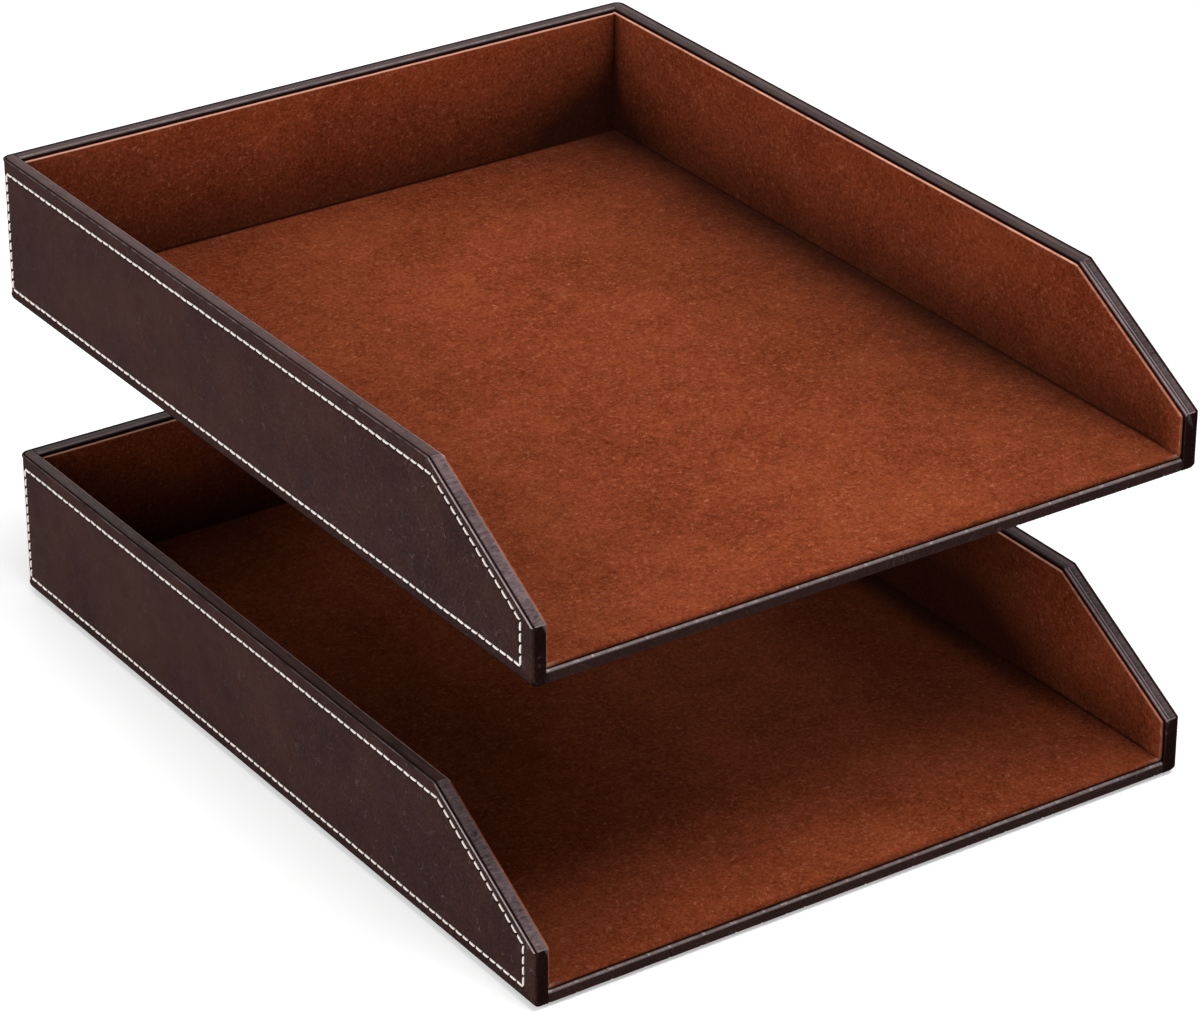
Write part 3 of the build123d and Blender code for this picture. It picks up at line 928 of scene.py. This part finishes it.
def make_stitching(face, seed):
    """The thread of one face's seam: one arched stitch between each two needle holes."""
    rng = np.random.default_rng(seed)
    shape = Shape()
    (corners, counts), way, face_start = faces[face]
    turns = np.linspace(0, 2 * math.pi, 11)[:-1]
    steps = np.array([-1, -0.95, -0.85, -0.6, -0.3, 0, 0.3, 0.6, 0.85, 0.95, 1])
    swell = (1 - np.abs(steps) ** 12) ** 0.5
    swell[[0, -1]] = 0.45
    arch = 0.4 * np.abs(steps) ** 8
    for start, end, count in zip(corners, corners[1:] + corners[:1], counts):
        length = math.dist(start, end)
        along = np.subtract(end, start) / length
        across = np.array([-along[1], along[0]])
        pitch = length / count
        for number in range(count):
            centre = start + along * pitch * (number + 0.5)
            slant = rng.normal(0.06, 0.03)
            half_length = (pitch - stitch_gap) / 2 * rng.uniform(0.97, 1.03)
            lean = along + slant * across
            line = centre + np.outer(steps * half_length, lean) + rng.normal(0, 0.03) * across
            bow = 0.10 * (1 - steps ** 2) * rng.uniform(-0.6, 1.0)
            line += np.outer(bow, across)
            wide = stitch_half_width * swell * rng.uniform(0.92, 1.06)
            aside = np.outer(wide, np.cos(turns))
            run = line[:, 0, None] + across[0] * aside
            height = line[:, 1, None] + across[1] * aside
            lift = stitch_half_height * swell[:, None] * np.sin(turns)
            depth = stitch_half_height + 0.03 + arch[:, None] - lift
            shape.add_loft(place_round_tray(face_start + way * run, height, depth))
    return shape


def make_screws():
    """Button-head screws with hexagon sockets, each turned to its own angle."""
    low, high = (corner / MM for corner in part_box("bracket_screws"))
    rng = np.random.default_rng(7)
    turns = np.linspace(0, 2 * math.pi, 49)[:-1]
    face = high.y - screw_head_height
    rings = [
        (0.1, low.y), (1.5, low.y), (screw_shank_radius, low.y + 0.4), (screw_shank_radius, face),
        (screw_head_radius - 0.15, face), (screw_head_radius, face + 0.15), (screw_head_radius, face + 0.35),
    ]
    for rise in (0.25, 0.5, 0.7, 0.85, 0.95, 1.0):
        radius = screw_head_flat + (screw_head_radius - screw_head_flat) * math.sqrt(1 - rise ** 2)
        rings.append((radius, face + 0.35 + rise * (screw_head_height - 0.35)))
    socket = ((1.09, 0.0), (1.0, -0.12), (1.0, -1.25), (0.1, -1.55))
    sixth = math.pi / 3
    shape = Shape()
    for x in (low.x + screw_head_radius, high.x - screw_head_radius):
        for z in (low.z + screw_head_radius, high.z - screw_head_radius):
            hexagon = 1 / np.cos((turns + rng.uniform(0, sixth)) % sixth - sixth / 2)
            rows = rings + [(screw_socket_reach * share * hexagon, high.y + depth) for share, depth in socket]
            radii = np.array([radius + 0 * turns for radius, _ in rows])
            depths = np.array([[depth] for _, depth in rows]) + 0 * radii
            points = np.stack([x + radii * np.cos(turns), depths, z + radii * np.sin(turns)], axis=-1)
            shape.add_loft(points, flip=True)
    return shape


def cut_sockets(piece):
    """Cuts the seats of the stud sockets into the upper tray's base cover."""
    low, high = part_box("stud_sockets")
    radius = (high.y - low.y) / 2 - 0.02 * MM
    cutter_shape = bmesh.new()
    for x in (low.x + radius, high.x - radius):
        seat = Vector((x, (low.y + high.y) / 2, (low.z + high.z) / 2 - 0.52 * MM))
        bmesh.ops.create_cone(
            cutter_shape, cap_ends=True, segments=64, radius1=radius, radius2=radius,
            depth=high.z - low.z + 1.0 * MM, matrix=Matrix.Translation(seat),
        )
    cutter_mesh = bpy.data.meshes.new("cutter")
    cutter_shape.to_mesh(cutter_mesh)
    cutter_shape.free()
    cutter = add_object("cutter", cutter_mesh)
    modifier = piece.modifiers.new("sockets", "BOOLEAN")
    modifier.operation = "DIFFERENCE"
    modifier.object = cutter
    cut = bpy.data.meshes.new_from_object(piece.evaluated_get(bpy.context.evaluated_depsgraph_get()))
    piece.modifiers.clear()
    piece.data = cut
    bpy.data.objects.remove(cutter)


def soften_edges(node, width):
    """Rounds the sharp edges of a CAD node as it is shown."""
    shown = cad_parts[node]
    weld = shown.modifiers.new("weld", "WELD")
    weld.merge_threshold = 0.001 * MM
    rounding = shown.modifiers.new("rounding", "BEVEL")
    rounding.width = width * MM
    rounding.segments = 3
    rounding.limit_method = "ANGLE"
    rounding.angle_limit = math.radians(40)
    rounding.harden_normals = True


for number, (tray, level) in enumerate(levels.items()):
    body = tray + "_tray"
    seed = 100 * (number + 1)
    rim = (side_rim_leather, outer_leather, lit_slope_leather, dull_leather)
    band = (outer_leather, polished_leather, dull_leather)
    pieces = (
        ("outer_band", make_outer_band(seed), band, "outer_leather", 60, None),
        ("left_cover", make_side_cover(-1, seed + 10), rim, "rim_leather", 40, "left_board"),
        ("right_cover", make_side_cover(1, seed + 20), rim, "rim_leather", 40, "right_board"),
        ("back_cover", make_back_cover(seed + 30), (back_rim_leather, outer_leather), "rim_leather", 40,
         "back_board"),
        ("base_cover", make_base_cover(seed + 40), (outer_leather, polished_leather), "rim_leather", 50,
         "base_board"),
        ("left_lining", make_side_lining(-1, seed + 50, tray == "lower"), (suede,), "suede", 50, None),
        ("right_lining", make_side_lining(1, seed + 51, tray == "lower"), (suede,), "suede", 50, None),
        ("back_lining", make_back_lining(seed + 52, tray == "lower"), (suede,), "suede", 50, None),
        ("floor_lining", make_floor_lining(seed + 53), (suede,), "suede", 50, None),
    )
    for name, shape, finishes, slot, angle, core in pieces:
        node = tray + "_" + name
        if core:
            shape.add_cavity(tray + "_" + core, level)
        piece = make_piece(node + "_skin", shape, level, finishes, body, (node,), angle)
        if node == "upper_base_cover":
            cut_sockets(piece)
    for turn, face in enumerate(("left", "right", "back")):
        shape = make_stitching(face, seed + 60 + turn)
        make_piece(tray + "_" + face + "_stitching", shape, level, (thread,), body)
make_piece("bracket_screws_detail", make_screws(), 0, (black_oxide,), "lower_tray",
           ("bracket_screws",), 35)
soften_edges("left_riser_bracket", 0.4)
soften_edges("right_riser_bracket", 0.4)
soften_edges("locating_studs", 0.2)
soften_edges("stud_sockets", 0.2)


# Camera at the photograph's viewing angle
camera_place = Vector((-800.5, -1191.4, 817.9)) * MM
camera_heading = math.radians(34.156)
camera_tilt = math.radians(27.680)
camera_focal_share = 3.9716
camera = add_object("camera", bpy.data.cameras.new("camera"))
camera.data.sensor_fit = "HORIZONTAL"
camera.data.sensor_width = 36.0
camera.data.lens = camera.data.sensor_width * camera_focal_share
camera.data.clip_start = 0.05
camera.data.clip_end = 100.0
camera.location = camera_place
camera.rotation_euler = (math.pi / 2 - camera_tilt, 0, -camera_heading)
bpy.context.scene.camera = camera

# Where the lamps point
object_middle = Vector((0, 0, 0.08))


def add_softbox(name, place, size, power):
    """A large soft lamp, turned to the object."""
    lamp = bpy.data.lights.new(name, "AREA")
    lamp.shape = "RECTANGLE"
    lamp.size, lamp.size_y = size
    lamp.energy = power
    holder = add_object(name, lamp)
    holder.location = place
    holder.rotation_euler = (object_middle - Vector(place)).to_track_quat("-Z", "Y").to_euler()


def background_share(tree):
    """1 for what the camera sees, in mirror or glass too, and 0 for light on its way."""
    path = tree.nodes.new("ShaderNodeLightPath").outputs
    seen = math_node(tree, "MAXIMUM", path["Is Camera Ray"], path["Is Glossy Ray"])
    return math_node(tree, "MAXIMUM", seen, path["Is Transmission Ray"])


def make_floor(reach, near, far, near_lift, far_lift):
    """A wide pale floor that keeps the object's shadow. What the camera sees of it is lifted to white, by
    more beyond the lamps. near and far are in millimetres."""
    mesh = bpy.data.meshes.new("floor")
    corners = [(-reach, -reach, 0), (reach, -reach, 0), (reach, reach, 0), (-reach, reach, 0)]
    mesh.from_pydata(corners, [], [(0, 1, 2, 3)])
    floor = add_object("floor", mesh)
    material, tree, shader = new_material("floor")
    distance = add_node(tree, "VectorMath", "Value", {0: object_place(tree)}, operation="LENGTH")
    lift = remap(tree, distance, near, far, near_lift, far_lift)
    lift = math_node(tree, "MULTIPLY", background_share(tree), lift)
    feed(tree, shader, {
        "Base Color": (0.9, 0.9, 0.9, 1.0), "Roughness": 1.0, "Specular IOR Level": 0.0,
        "Emission Color": (1.0, 1.0, 1.0, 1.0), "Emission Strength": lift,
    })
    mesh.materials.append(material)


def make_world(strength):
    """Even light from all round, white where the camera sees it."""
    world = bpy.data.worlds.new("world")
    world.use_nodes = True
    tree = world.node_tree
    seen = remap(tree, background_share(tree), 0.0, 1.0, strength, 1.0)
    feed(tree, tree.nodes["Background"], {"Color": (1.0, 1.0, 1.0, 1.0), "Strength": seen})
    scene.world = world


make_floor(reach=30.0, near=700.0, far=3000.0, near_lift=0.4, far_lift=0.8)
make_world(strength=0.34)
add_softbox("key", (0.15, -0.6, 1.9), (1.1, 1.1), 25)
add_softbox("left_fill", (-2.05, 0.0, 0.72), (1.6, 1.0), 20)
add_softbox("behind", (0.15, 1.9, 1.75), (1.4, 0.7), 5)
scene.view_settings.view_transform = "Standard"
